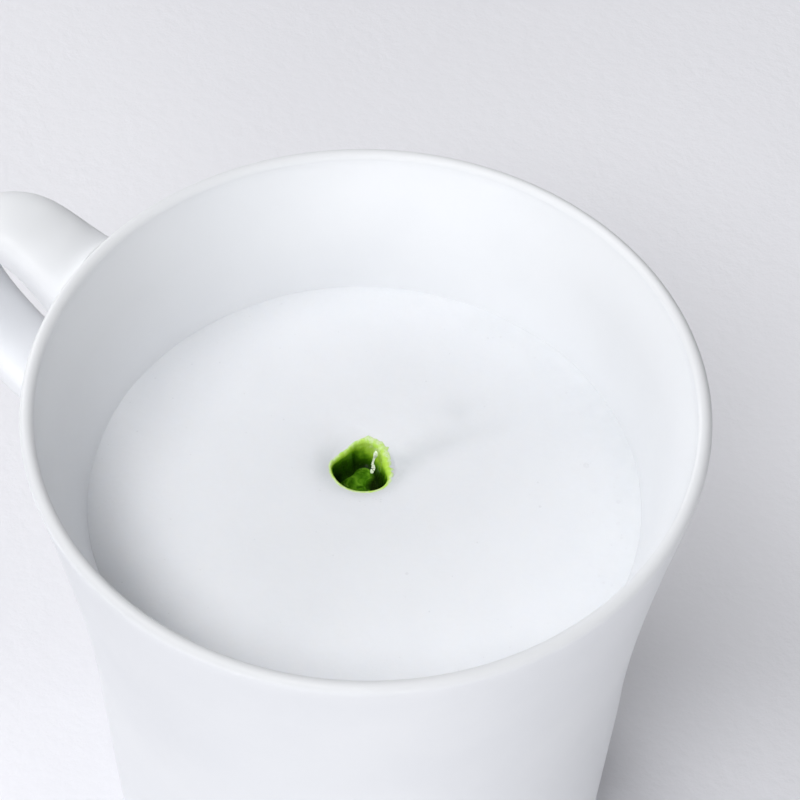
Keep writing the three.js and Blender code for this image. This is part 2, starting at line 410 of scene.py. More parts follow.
def painted_shade_on_strap(points):
    """How much shade is painted on the handle: on top of its upper arm, away from the wall."""
    from_wall = np.hypot(points[:, 0], points[:, 1]) - wall_radius(points[:, 2])
    start = MUG_HEIGHT - UPPER_ROOT_DROP - STRAP_SHADE_START
    raised = np.clip((points[:, 2] - start) / STRAP_SHADE_RISE, 0.0, 1.0)
    return STRAP_PAINTED_SHADE * raised * np.clip(from_wall / STRAP_SHADE_REACH, 0.0, 1.0)


def make_mug(material):
    """The mug in one piece: its body and its handle."""
    points, faces = mug_body()
    more_points, more_faces = strap()
    start = len(points)
    faces = faces + [tuple(start + i for i in face) for face in more_faces]
    piece = add_mesh("mug_glazed", np.vstack([points, more_points]), faces, material, "porcelain")
    painted_shade = np.concatenate([painted_shade_on_body(points), painted_shade_on_strap(more_points)])
    give_values(piece, "painted_shade", painted_shade)
    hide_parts("mug")
    return piece


# The hollow's outline. Angles are seen from the camera: 0 to the right, 90 degrees to the back.
# Each swell or dip is a bearing, a width and a height, and each finger's three lie in ranges.
# Each wave is a count, a start and a height.
SWELLS = [(84, 34, 0.52), (-56, 24, 0.22), (168, 24, 0.22), (-150, 30, 0.12), (10, 32, -0.46)]
FLAT_SIDE_SWELLS = [(105, 14, 0.40)]
FINGER_COUNT = 34
FINGER_RANGES = [(-34, 84), (2.0, 4.2), (-0.36, 0.30)]
FILM_WAVES = [(13, 0.6, 0.03), (29, 4.0, 0.02)]
MOUTH_WAVES = [(5, 1.6, -0.04)]
FILM_REACH = 0.40
FILM_REACH_SWELLS = [(28, 50, 0.85)]
FILM_LEAST = 0.15
HOLLOW_CLOSING = 0.9
HOLLOW_LEAN = 0.06


def smooth_outline(angle):
    """Radius of the green film's outer edge without its fingers: round, with one flat side."""
    round_side = HOLLOW_RADIUS + bumps(angle, SWELLS)
    flat_side = FLAT_SIDE / np.maximum(np.cos(angle - FLAT_SIDE_BEARING), 0.4)
    flat_side = flat_side + bumps(angle, FLAT_SIDE_SWELLS)
    nearer = np.exp(-round_side / FLAT_SIDE_BLEND) + np.exp(-flat_side / FLAT_SIDE_BLEND)
    return -FLAT_SIDE_BLEND * np.log(nearer)


def make_fingers():
    """Bearings, widths and reaches of the ragged fingers at the film's right and back."""
    pick = random.Random(SEED + 2)
    return [tuple(pick.uniform(*ends) for ends in FINGER_RANGES) for _ in range(FINGER_COUNT)]


FINGERS = make_fingers()


def film_outline(angle):
    """Radius of the green film's outer edge about the hollow's centre."""
    return smooth_outline(angle) + bumps(angle, FINGERS) + waves(angle, FILM_WAVES)


def hollow_outline(angle):
    """Radius of the hollow's mouth about its centre."""
    covered = FILM_REACH + bumps(angle, FILM_REACH_SWELLS)
    return smooth_outline(angle) - covered + waves(angle, MOUTH_WAVES)


def film_width(angle):
    """How far the film runs out from the hollow's mouth."""
    return np.maximum(film_outline(angle) - hollow_outline(angle), FILM_LEAST)


def wall_at(mouth, below):
    """Radius of the hollow's wall at a depth below its rounded lip."""
    return mouth * (1 - HOLLOW_CLOSING * (below / HOLLOW_DEPTH) ** 3) - HOLLOW_LEAN * below


def film_face(mouth, below, depth):
    """Radius of the film's face on the wall: it thickens downward and turns into the pool."""
    share = below / depth
    fillet = POOL_FILLET * np.exp(-(1 - share) * POOL_FILLET_TURN)
    return wall_at(mouth, below) - FILM - FILM_SAG * share - fillet


def hollow_ring(angle, radius, height):
    """Points round the hollow's own axis, for angles seen from the camera."""
    turned_angle = angle + VIEW_TURN
    x = HOLLOW[0] + radius * np.cos(turned_angle)
    y = HOLLOW[1] + radius * np.sin(turned_angle)
    return np.stack([x, y, np.broadcast_to(height, x.shape)], axis=-1)


# Milk: the dimple falls towards the hollow in a wide bowl and, near it, in a funnel
BOWL_START = 4.75
BOWL_RUN = 8.3
FUNNEL_START = 4.6
FUNNEL_REACH = 1.9
RIPPLE_HEIGHT = 0.02
RIPPLE_TURN = 2.1
RIPPLE_START = 5.0
RIPPLE_REACH = 7.0
QUIET_RUN = 6.0

# Unevenness of the froth: turns for each millimetre, layer of the noise and height
FROTH_UNEVENNESS = [(0.13, 1.4, 0.11), (0.35, 3.1, 0.030), (1.3, 7.7, 0.010)]

# The groove, the soft spot and the rings of the milk's mesh
GROOVE_START = plan(4.4, 6.6)
GROOVE_END = plan(23.0, 14.6)
GROOVE_DEPTH = 0.62
GROOVE_BEND = 0.9
GROOVE_WIDTH = 2.4
GROOVE_TAPER = 0.8
BANK_HEIGHT = 0.16
SPOT = plan(12.7, 16.0)
SPOT_RADIUS = 2.0
SPOT_DEPTH = 0.16
MILK_SIDES = 420
MILK_ROWS = 130
MILK_CROWDING = 0.09
HOLE_DEPTHS = (0.8, 1.8, 3.0, 4.4, 5.8, 7.0, 7.9)
HOLE_LEAST = 0.4
HOLE_BOTTOM = 8.2
SIDE_DROPS = (1.0, 10.0, 25.0, 45.0)
SIDE_BITE = 0.10
FLOOR_LIFT = 0.2
FOOT_SHARE = 0.72

# Painted shade on the froth: bearing, width, strength and reach beyond the film, then along groove, spot
# and wall
HOLLOW_SHADES = [(178, 52, 0.95, 2.4), (0, 42, 0.60, 1.8), (-85, 70, 0.75, 1.1)]
GROOVE_SHADE = 0.80
SPOT_SHADE = 0.35
WALL_SHADE = 0.20
WALL_SHADE_REACH = 3.2
WALL_CLEAR = [(222, 46, 0.20)]
WIDE_SHADE = [(15, 55, 0.35)]
WIDE_SHADE_REACH = 9.0


def groove_places(x, y):
    """How strong the groove is at places, how far beside its middle they lie and how wide it is."""
    run = GROOVE_END - GROOVE_START
    length = np.hypot(*run)
    along = ((x - GROOVE_START[0]) * run[0] + (y - GROOVE_START[1]) * run[1]) / length
    off = (-(x - GROOVE_START[0]) * run[1] + (y - GROOVE_START[1]) * run[0]) / length
    off = off - GROOVE_BEND * np.sin(along / length * math.pi)
    share = np.clip(along / length, 0.0, 1.0)
    fade = (1 - share) ** 1.2 * np.clip((along + 3.0) / 3.0, 0.0, 1.0)
    return fade, off, GROOVE_WIDTH - GROOVE_TAPER * share


def spot_places(x, y):
    """How near places lie to the soft spot behind the groove."""
    return np.exp(-(((x - SPOT[0]) ** 2 + (y - SPOT[1]) ** 2) / SPOT_RADIUS**2))


def milk_relief(x, y):
    """Height of the milk's surface above its level, in millimetres."""
    reach = np.hypot(x - HOLLOW[0], y - HOLLOW[1])
    edge = np.clip((reach - BOWL_START) / BOWL_RUN, 0.0, 1.0)
    funnel = np.exp(-np.maximum(reach - FUNNEL_START, 0.0) / FUNNEL_REACH)
    relief = -DIMPLE_DEPTH * (0.5 * (1 - edge) ** 2 + 0.5 * funnel)
    dying = np.exp(-np.maximum(reach - RIPPLE_START, 0.0) / RIPPLE_REACH)
    ripples = RIPPLE_HEIGHT * np.sin(reach * RIPPLE_TURN) * dying
    fade, off, width = groove_places(x, y)
    groove = -GROOVE_DEPTH * fade * np.exp(-((off / width) ** 2))
    bank = BANK_HEIGHT * fade * np.exp(-(((off - 2.2 * width) / (1.3 * width)) ** 2))
    spot = -SPOT_DEPTH * spot_places(x, y)
    wide = 0.10 * np.sin(x * 0.11 + 0.7) * np.cos(y * 0.13 - 0.4)
    wide = wide + 0.05 * np.sin(x * 0.31 - y * 0.22)
    quiet = np.clip((reach - RIPPLE_START) / QUIET_RUN, 0.0, 1.0)
    return relief + ripples + groove + bank + spot + wide * quiet


def milk_painted_shade(x, y):
    """How much shade is painted on the froth: round the hollow, along the groove, at the spot and at the
    wall.
    """
    reach = np.hypot(x - HOLLOW[0], y - HOLLOW[1])
    angle = np.arctan2(y - HOLLOW[1], x - HOLLOW[0]) - VIEW_TURN
    beyond = np.maximum(reach - smooth_outline(angle), 0.0)
    painted_froth_shade = SPOT_SHADE * spot_places(x, y)
    for side, breadth, strength, fade_reach in HOLLOW_SHADES:
        painted_froth_shade = painted_froth_shade + strength * near(angle, side, breadth) * np.exp(-((beyond / fade_reach) ** 2))
    fade, off, width = groove_places(x, y)
    painted_froth_shade = painted_froth_shade + GROOVE_SHADE * fade * np.exp(-((off / width) ** 2))
    to_wall = np.maximum(bore_radius(LEVEL) - np.hypot(x, y), 0.0)
    bearing = np.arctan2(y, x) - VIEW_TURN
    at_wall = WALL_SHADE - bumps(bearing, WALL_CLEAR)
    painted_froth_shade = painted_froth_shade + at_wall * np.exp(-((to_wall / WALL_SHADE_REACH) ** 2))
    painted_froth_shade = painted_froth_shade + bumps(bearing, WIDE_SHADE) * np.exp(-((to_wall / WIDE_SHADE_REACH) ** 2))
    return np.clip(painted_froth_shade, 0.0, 1.0)


def milk_top(x, y):
    """Heights of the milk's surface at places, with the fine unevenness of froth."""
    shape = np.shape(x)
    uneven = np.empty(np.size(x))
    for i, (px, py) in enumerate(zip(np.ravel(x), np.ravel(y))):
        uneven[i] = sum(
            height * noise.noise(Vector((px * scale, py * scale, layer)))
            for scale, layer, height in FROTH_UNEVENNESS
        )
    to_wall = bore_radius(LEVEL + MENISCUS) - np.hypot(x, y)
    meniscus = MENISCUS * np.exp(-np.maximum(to_wall, 0.0) / MENISCUS_REACH)
    return LEVEL + milk_relief(x, y) + meniscus + uneven.reshape(shape)


def make_milk(material):
    """The froth's surface from the hollow's lip to the wall, its sides and its underside."""
    sides, rows = MILK_SIDES, MILK_ROWS
    angle = np.linspace(0.0, 2 * math.pi, sides, endpoint=False)
    mouth = hollow_outline(angle)
    direction = np.stack([np.cos(angle + VIEW_TURN), np.sin(angle + VIEW_TURN)], axis=-1)
    outer = bore_radius(LEVEL + MENISCUS) + WALL_BITE
    dot = direction @ HOLLOW
    reach = -dot + np.sqrt(dot**2 + outer**2 - HOLLOW @ HOLLOW)
    share = np.linspace(0.0, 1.0, rows)
    share = share - MILK_CROWDING * np.sin(2 * math.pi * share)
    crest = mouth + LIP_ROUND
    radius = crest[None] + (reach - crest)[None] * share[:, None]
    flat = HOLLOW + radius[..., None] * direction[None]
    x, y = flat[..., 0], flat[..., 1]
    top = np.stack([x, y, milk_top(x, y)], axis=-1)

    lip_rings = []
    for turn in np.linspace(math.pi / 2, 0.0, 8)[1:]:
        inward = crest - LIP_ROUND * math.cos(turn)
        drop = LIP_ROUND * (1 - math.sin(turn))
        lip_rings.append(hollow_ring(angle, inward, top[0, :, 2] - drop))
    for below in HOLE_DEPTHS:
        narrow = np.maximum(wall_at(mouth, below), HOLE_LEAST)
        lip_rings.append(hollow_ring(angle, narrow, top[0, :, 2] - LIP_ROUND - below))
    hole = np.array(lip_rings[::-1])

    side_rings = []
    round_angle = np.arctan2(y[-1], x[-1])
    heights = [LEVEL - drop for drop in SIDE_DROPS]
    for height in heights + [FLOOR_HEIGHT + BORE_CORNER + 0.3]:
        side = bore_radius(height) + SIDE_BITE
        across = [side * np.cos(round_angle), side * np.sin(round_angle)]
        side_rings.append(np.stack([*across, np.full(sides, height)], axis=-1))
    floor = FLOOR_HEIGHT + FLOOR_LIFT
    foot = side_rings[-1] * np.array([FOOT_SHARE, FOOT_SHARE, 0.0]) + np.array([0.0, 0.0, floor])
    rings = np.concatenate([hole, top, np.array(side_rings), foot[None]])
    points = rings.reshape(-1, 3)
    faces = [tuple(reversed(face)) for face in ring_faces(len(rings), sides)]
    last = len(points)
    bottom_of_hole = np.append(HOLLOW, LEVEL - DIMPLE_DEPTH - LIP_ROUND - HOLE_BOTTOM)
    points = np.vstack([points, [bottom_of_hole, [0.0, 0.0, floor]]])
    end = (len(rings) - 1) * sides
    for j in range(sides):
        k = (j + 1) % sides
        faces.append((last, j, k))
        faces.append((last + 1, end + k, end + j))
    faces = [tuple(reversed(face)) for face in faces]
    piece = add_mesh("milk_froth", points, faces, material, "frothed_milk")
    give_values(piece, "painted_froth_shade", milk_painted_shade(points[:, 0], points[:, 1]))
    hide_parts("milk")
    return piece


def burst_bubble(points, faces, x, y, radius):
    """Adds the raised ring and shallow pit that a bubble leaves in the froth."""
    sides = 12
    profile = [(1.5, -0.05), (1.15, 0.04), (0.92, 0.08), (0.75, 0.03), (0.5, -0.02), (0.22, -0.04)]
    base = float(milk_top(x, y)) + 0.01
    start = len(points)
    for reach, lift in profile:
        out = radius * reach
        for j in range(sides):
            a = 2 * math.pi * j / sides
            points.append((x + out * math.cos(a), y + out * math.sin(a), base + radius * lift))
    faces.extend(tuple(reversed(f)) for f in ring_faces(len(profile), sides, start))
    last = len(points)
    points.append((x, y, base - radius * 0.1))
    inner = start + (len(profile) - 1) * sides
    for j in range(sides):
        faces.append((last, inner + j, inner + (j + 1) % sides))


def whole_bubble(points, faces, x, y, radius, height):
    """Adds a small dome of froth standing on a surface."""
    sides, rows, squash = 12, 6, 0.8
    start = len(points)
    for i in range(rows):
        tilt = math.pi * 0.62 * (rows - i) / rows
        for j in range(sides):
            a = 2 * math.pi * j / sides
            points.append((
                x + radius * math.sin(tilt) * math.cos(a),
                y + radius * math.sin(tilt) * math.sin(a),
                height + radius * squash * math.cos(tilt),
            ))
    faces.extend(ring_faces(rows, sides, start))
    last = len(points)
    points.append((x, y, height + radius * squash))
    inner = start + (rows - 1) * sides
    for j in range(sides):
        faces.append((inner + j, inner + (j + 1) % sides, last))


def beside_hollow(angle, reach):
    """Place at an angle seen from the camera and a distance from the hollow's centre."""
    return HOLLOW + reach * np.array([math.cos(angle + VIEW_TURN), math.sin(angle + VIEW_TURN)])


# The larger bubbles that show, as places right of and behind the mug's axis with their radii,
# and the counts of fine ones
LARGER_BUBBLES = [
    (30.8, 6.5, 0.30),
    (35.1, 0.3, 0.22),
    (34.9, -3.5, 0.20),
    (24.2, -0.8, 0.14),
    (5.9, -12.5, 0.15),
]
RIGHT_WALL_BUBBLES = 26
WALL_BUBBLES = 24
HOLLOW_BUBBLES = 30
OPEN_BUBBLES = 60
POOL_BUBBLES = 34


def make_milk_bubbles(material):
    """The few larger bubbles that show, and fine ones near the hollow and the wall."""
    pick = random.Random(SEED)
    points, faces = [], []
    for right, back, radius in LARGER_BUBBLES:
        x, y = plan(right, back)
        burst_bubble(points, faces, x, y, radius)
    edge = bore_radius(LEVEL) - 0.5
    for _ in range(RIGHT_WALL_BUBBLES):
        angle = pick.uniform(-0.5, 1.3)
        reach = edge - abs(pick.gauss(0.0, 1.5)) - 0.5
        x, y = plan(reach * math.cos(angle), reach * math.sin(angle))
        burst_bubble(points, faces, x, y, pick.uniform(0.06, 0.15))
    for _ in range(WALL_BUBBLES):
        angle = pick.uniform(0.0, 2 * math.pi)
        reach = edge - abs(pick.gauss(0.0, 0.5)) - 0.3
        x, y = plan(reach * math.cos(angle), reach * math.sin(angle))
        burst_bubble(points, faces, x, y, pick.uniform(0.05, 0.11))
    for _ in range(HOLLOW_BUBBLES):
        x, y = beside_hollow(pick.gauss(-1.6, 0.6), 5.2 + abs(pick.gauss(0.0, 0.9)))
        burst_bubble(points, faces, x, y, pick.uniform(0.05, 0.10))
    for _ in range(OPEN_BUBBLES):
        reach = edge * math.sqrt(pick.uniform(0.0, 0.96))
        angle = pick.uniform(0.0, 2 * math.pi)
        x, y = reach * math.cos(angle), reach * math.sin(angle)
        if math.hypot(x - HOLLOW[0], y - HOLLOW[1]) > 6.0:
            burst_bubble(points, faces, x, y, pick.uniform(0.04, 0.09))
    return add_mesh("milk_bubbles", points, faces, material, "frothed_milk")


# Matcha: how wet the film is at the mouth and above the pool, darkened downward by painted shade, and
# the back right side where painted light keeps it pale for longer
MOUTH_WETNESS = 0.30
WALL_WETNESS_AND_SHADE = 0.85
LIT_SIDE = (60, 40)
LIT_MOUTH = 0.18
LIT_DELAY = 1.9
WETTING = 0.42

# Painted shade: how dark its right side is, on the wall and in the pool
DARK_SIDE = (-20, 66)
DARK_WALL = 0.92
DARK_POOL = 0.97
DARK_POOL_START = 0.35
DARK_POOL_SLANT = 0.35
DARK_POOL_RAMP = 0.9
LINING_SIDES = 360
POOL_SHARES = (0.94, 0.88, 0.80, 0.71, 0.62, 0.53, 0.44, 0.35, 0.26, 0.17, 0.08)
POOL_SINK = 0.10
POOL_MIDDLE_SINK = 0.07
BACK_DEPTHS = (0.3, 1.8, 3.6, 5.4, 7.0)
BACK_GAP = 0.05
BACK_BOTTOM = 7.3


def pool_shade(right, back):
    """How much shade is painted on the pool at a place right of its middle and behind it."""
    start = DARK_POOL_START + DARK_POOL_SLANT * np.maximum(back, 0.0)
    return DARK_POOL * np.clip((right - start) / DARK_POOL_RAMP, 0.0, 1.0)


def lip_wetness_and_light(angle):
    """How wet the film is at the mouth, with painted light on its back right side."""
    return MOUTH_WETNESS - LIT_MOUTH * near(angle, *LIT_SIDE)


def lip_rings_of_film(angle, mouth):
    """Rings over the milk's rounded lip from the film's thin edge to the mouth, and their wetness with
    its painted light.
    """
    width = film_width(angle)
    flat = np.maximum(width - LIP_ROUND, 0.0)
    start_turn = np.arccos(np.clip((LIP_ROUND - width) / LIP_ROUND, 0.0, 1.0))
    run = flat + LIP_ROUND * start_turn
    crest = mouth + LIP_ROUND
    crest_ring = hollow_ring(angle, crest, 0.0)
    crest_top = milk_top(crest_ring[:, 0], crest_ring[:, 1])
    rings, wetness_and_shade = [], []
    for share in np.linspace(0.0, 1.0, 13):
        gone = run * share
        turn = np.where(gone < flat, math.pi / 2, start_turn - (gone - flat) / LIP_ROUND)
        out = np.where(gone < flat, width - gone, LIP_ROUND * (1 - np.cos(turn)))
        thick = FILM * min(0.25 + 2.5 * share, 1.0)
        radius = mouth + out - thick * np.cos(turn)
        place = hollow_ring(angle, mouth + out, 0.0)
        surface = np.where(gone < flat, milk_top(place[:, 0], place[:, 1]), crest_top)
        height = surface - LIP_ROUND * (1 - np.sin(turn)) + thick * np.sin(turn)
        if share == 0.0:
            rings.append(hollow_ring(angle, radius + 0.02, height - 0.12))
            wetness_and_shade.append(np.zeros_like(angle))
        rings.append(hollow_ring(angle, radius, height))
        wetness_and_shade.append(lip_wetness_and_light(angle) * share)
    return rings, wetness_and_shade, crest_top - LIP_ROUND


def make_lining(material):
    """The film from the milk's lip down the hollow's wall, the pool and a back behind them."""
    sides = LINING_SIDES
    angle = np.linspace(0.0, 2 * math.pi, sides, endpoint=False)
    mouth = hollow_outline(angle)
    rings, wetness_and_shade, wall_top = lip_rings_of_film(angle, mouth)
    depth = wall_top - POOL_TOP
    phase = np.random.default_rng(SEED).uniform(0.0, 2 * math.pi, 3)
    # Painted light: the back right side stays pale further down
    delay = WETTING + LIT_DELAY * near(angle, *LIT_SIDE)
    dark_wall = DARK_WALL * near(angle, *DARK_SIDE)
    shades = [np.zeros_like(angle)] * len(rings)
    for share in np.linspace(0.0, 1.0, 30)[1:]:
        below = depth * share
        runs = 0.07 * np.sin(11 * angle + phase[0]) + 0.05 * np.sin(19 * angle + phase[1] + 1.5 * share)
        runs = runs + 0.04 * np.sin(5 * angle + 6.0 * share + phase[2])
        radius = film_face(mouth, below, depth) + runs * math.sin(math.pi * share)
        rings.append(hollow_ring(angle, radius, wall_top - below))
        wetness_and_shade.append(lip_wetness_and_light(angle) + (WALL_WETNESS_AND_SHADE - lip_wetness_and_light(angle)) * share**delay)
        shades.append(dark_wall * share**1.6)
    pool_edge = np.hypot(rings[-1][:, 0] - HOLLOW[0], rings[-1][:, 1] - HOLLOW[1])
    for share in POOL_SHARES:
        swell = 0.03 * math.cos(share * 17.0) + 0.05 * share * np.sin(2 * angle + share * 5.0)
        reach = pool_edge * share
        rings.append(hollow_ring(angle, reach, POOL_TOP - POOL_SINK + swell))
        wetness_and_shade.append(np.full_like(angle, 1.0))
        shades.append(pool_shade(reach * np.cos(angle), reach * np.sin(angle)))
    rings = np.array(rings)
    points = rings.reshape(-1, 3)
    faces = ring_faces(len(rings), sides)
    last = len(points)
    points = np.vstack([points, [np.append(HOLLOW, POOL_TOP - POOL_MIDDLE_SINK)]])
    end = (len(rings) - 1) * sides
    for j in range(sides):
        faces.append((end + j, end + (j + 1) % sides, last))

    back = []
    for below in BACK_DEPTHS:
        back.append(hollow_ring(angle, wall_at(mouth, below) + BACK_GAP, wall_top - below))
    start = len(points)
    points = np.vstack([points, np.array(back).reshape(-1, 3)])
    faces += [tuple(reversed(face)) for face in ring_faces(len(back), sides, start)]
    for j in range(sides):
        k = (j + 1) % sides
        faces.append((k, j, start + j, start + k))
    last = len(points)
    points = np.vstack([points, [np.append(HOLLOW, wall_top.mean() - BACK_BOTTOM)]])
    end = start + (len(back) - 1) * sides
    for j in range(sides):
        faces.append((end + (j + 1) % sides, end + j, last))
    piece = add_mesh("matcha_lining", points, faces, material, "matcha")
    values = np.ones(len(points))
    values[: len(wetness_and_shade) * sides] = np.array(wetness_and_shade).ravel()
    give_values(piece, "wetness_and_shade", values)
    darkness = np.zeros(len(points))
    darkness[: len(shades) * sides] = np.array(shades).ravel()
    give_values(piece, "shade", darkness)
    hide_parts("matcha")
    return piece


def make_matcha_froth(material):
    """Small bubbles that float on the pool where it was stirred."""
    pick = random.Random(SEED + 1)
    points, faces = [], []
    for _ in range(POOL_BUBBLES):
        x, y = beside_hollow(pick.gauss(3.9, 0.75), 2.70 - abs(pick.gauss(0.0, 0.60)))
        whole_bubble(points, faces, x, y, pick.uniform(0.07, 0.20), POOL_TOP - POOL_SINK)
    return add_mesh("matcha_froth", points, faces, material, "matcha")


# A painted glint: a pale run of drops down the hollow's back wall, standing in for a highlight; bearing,
# way down from the lip and radius of its drops.
# It ends in a cluster about one bearing and way down.
GLINT_DROPS = [
    (60.0, 0.50, 0.32),
    (60.3, 0.80, 0.40),
    (61.0, 1.10, 0.38),
    (62.0, 1.45, 0.31),
    (62.8, 1.80, 0.27),
    (63.6, 2.15, 0.25),
    (64.4, 2.50, 0.24),
    (65.2, 2.85, 0.25),
    (65.8, 3.15, 0.22),
]
GLINT_END = (60.5, 3.42)
GLINT_END_WIDTH = 3.6
GLINT_END_LENGTH = 0.42
GLINT_END_DROPS = 10
GLINT_END_RADIUS = 0.20


def glint_place(bearing, down):
    """A place on the film's face: a way down the wall at a bearing, then out over the pool."""
    angle = math.radians(bearing)
    mouth = float(hollow_outline(angle))
    crest = beside_hollow(angle, mouth + LIP_ROUND)
    wall_top = float(milk_top(crest[0], crest[1])) - LIP_ROUND
    depth = wall_top - POOL_TOP
    below = min(down, depth)
    x, y = beside_hollow(angle, film_face(mouth, below, depth) - (down - below))
    return x, y, wall_top - below


def make_painted_glint(material):
    """A painted glint: a thin pale run of drops down the hollow's back wall, standing in for a
    highlight, which ends in a cluster of small drops.
    """
    points, faces = [], []
    for bearing, down, radius in GLINT_DROPS:
        x, y, height = glint_place(bearing, down)
        whole_bubble(points, faces, x, y, radius, height)
    for turn in np.linspace(0.0, 2 * math.pi, GLINT_END_DROPS, endpoint=False):
        bearing = GLINT_END[0] + GLINT_END_WIDTH * math.cos(turn)
        x, y, height = glint_place(bearing, GLINT_END[1] + GLINT_END_LENGTH * math.sin(turn))
        whole_bubble(points, faces, x, y, GLINT_END_RADIUS, height)
    return add_mesh("matcha_painted_glint", points, faces, material, "matcha")


# Materials
class Nodes:
    """Builds one material's nodes."""

    def __init__(self, name):
        self.material = bpy.data.materials.new(name)
        self.material.use_nodes = True
        self.tree = self.material.node_tree
        self.shader = next(n for n in self.tree.nodes if n.type == "BSDF_PRINCIPLED")
        self.coords = self.tree.nodes.new("ShaderNodeTexCoord").outputs["Object"]

    def link(self, source, target):
        self.tree.links.new(source, target)

    def noise(self, scale, detail=3.0, roughness=0.5, distortion=0.0):
        node = self.tree.nodes.new("ShaderNodeTexNoise")
        node.inputs["Scale"].default_value = scale
        node.inputs["Detail"].default_value = detail
        node.inputs["Roughness"].default_value = roughness
        node.inputs["Distortion"].default_value = distortion
        self.link(self.coords, node.inputs["Vector"])
        return node.outputs["Fac"]

    def voronoi(self, scale):
        node = self.tree.nodes.new("ShaderNodeTexVoronoi")
        node.inputs["Scale"].default_value = scale
        self.link(self.coords, node.inputs["Vector"])
        return node.outputs["Distance"]

    def ramp(self, factor, stops):
        node = self.tree.nodes.new("ShaderNodeValToRGB")
        ramp = node.color_ramp
        while len(ramp.elements) > 1:
            ramp.elements.remove(ramp.elements[-1])
        ramp.elements[0].position = stops[0][0]
        ramp.elements[0].color = (*stops[0][1], 1.0)
        for place, colour in stops[1:]:
            element = ramp.elements.new(place)
            element.color = (*colour, 1.0)
        self.link(factor, node.inputs["Fac"])
        return node.outputs["Color"]

    def remap(self, value, low, high, to_low=0.0, to_high=1.0):
        node = self.tree.nodes.new("ShaderNodeMapRange")
        ends = {"From Min": low, "From Max": high, "To Min": to_low, "To Max": to_high}
        for name, number in ends.items():
            node.inputs[name].default_value = number
        self.link(value, node.inputs["Value"])
        return node.outputs["Result"]

    def attribute(self, name):
        node = self.tree.nodes.new("ShaderNodeAttribute")
        node.attribute_name = name
        return node.outputs["Fac"]

    def math(self, operation, a, b):
        node = self.tree.nodes.new("ShaderNodeMath")
        node.operation = operation
        for socket, value in zip(node.inputs, (a, b)):
            if isinstance(value, (int, float)):
                socket.default_value = value
            else:
                self.link(value, socket)
        return node.outputs["Value"]

    def mix(self, factor, a, b):
        node = self.tree.nodes.new("ShaderNodeMix")
        node.data_type = "RGBA"
        sockets = [s for s in node.inputs if s.type == "RGBA"]
        self.link(factor, node.inputs["Factor"])
        for socket, value in zip(sockets, (a, b)):
            if isinstance(value, tuple):
                socket.default_value = (*value, 1.0)
            else:
                self.link(value, socket)
        return next(s for s in node.outputs if s.type == "RGBA")

    def bump(self, height, strength, distance, before=None):
        node = self.tree.nodes.new("ShaderNodeBump")
        node.inputs["Strength"].default_value = strength
        node.inputs["Distance"].default_value = distance
        self.link(height, node.inputs["Height"])
        if before is not None:
            self.link(before, node.inputs["Normal"])
        return node.outputs["Normal"]

    def set(self, **values):
        for name, value in values.items():
            socket = self.shader.inputs[name.replace("_", " ")]
            if isinstance(value, (int, float, tuple)):
                socket.default_value = value
            else:
                self.link(value, socket)


def porcelain():
    """White satin glaze: faintly wavy, with hardly visible flecks, and greyer where shade is painted on
    the lip, inside and on the handle.
    """
    m = Nodes("porcelain_glaze")
    tone = m.ramp(m.noise(38.0, 4.0), [(0.35, (0.780, 0.796, 0.826)), (0.65, (0.810, 0.824, 0.850))])
    fleck = m.remap(m.voronoi(900.0), 0.02, 0.06, 1.0, 0.0)
    # Painted shade: the glaze is greyed on the lip, inside below the lip and on top of the handle
    tone = m.mix(m.attribute("painted_shade"), tone, (0.652, 0.664, 0.687))
    colour = m.mix(m.math("MULTIPLY", fleck, 0.25), tone, (0.70, 0.70, 0.70))
    wave = m.bump(m.noise(55.0, 2.0), 0.10, 0.0006)
    peel = m.bump(m.noise(900.0, 2.0), 0.03, 0.00008, wave)
    gloss = m.remap(m.noise(120.0, 3.0), 0.3, 0.7, 0.40, 0.46)
    m.set(Base_Color=colour, Roughness=gloss, Normal=peel, IOR=1.5, Specular_IOR_Level=0.3)
    return m.material


def milk_froth():
    """Fine wet froth: white, soft, with bubbles too small to model."""
    m = Nodes("milk_froth")
    tone = m.ramp(m.noise(70.0, 4.0, 0.55), [(0.3, (0.775, 0.791, 0.824)), (0.7, (0.800, 0.814, 0.845))])
    # Painted shade: the froth is greyed round the hollow, along the groove, at the spot and by the wall
    shade_amount = m.math("MULTIPLY", m.attribute("painted_froth_shade"), m.remap(m.noise(500.0, 4.0), 0.3, 0.7, 0.40, 0.55))
    tone = m.mix(shade_amount, tone, (0.500, 0.530, 0.548))
    pores = m.remap(m.voronoi(2600.0), 0.08, 0.28, 1.0, 0.0)
    patch = m.remap(m.noise(160.0, 3.0), 0.45, 0.7, 0.05, 0.5)
    colour = m.mix(m.math("MULTIPLY", pores, m.math("MULTIPLY", patch, 0.30)), tone, (0.62, 0.64, 0.66))
    froth = m.bump(m.voronoi(1700.0), 0.10, 0.0002)
    uneven = m.bump(m.noise(420.0, 5.0, 0.6), 0.20, 0.0002, froth)
    m.set(Base_Color=colour, Roughness=m.remap(m.noise(300.0), 0.3, 0.7, 0.42, 0.60), Normal=uneven)
    m.set(Subsurface_Weight=0.25, Subsurface_Radius=(1.0, 0.9, 0.8), Subsurface_Scale=0.0012)
    m.set(Specular_IOR_Level=0.4)
    return m.material


def bubble_skin():
    """Burst bubbles in the froth, a little greyer than it."""
    m = Nodes("milk_bubble_skin")
    tone = m.ramp(m.noise(900.0, 2.0), [(0.3, (0.700, 0.714, 0.745)), (0.7, (0.745, 0.758, 0.788))])
    m.set(Base_Color=tone, Roughness=0.35, Normal=m.bump(m.noise(2500.0), 0.1, 0.0001))
    return m.material


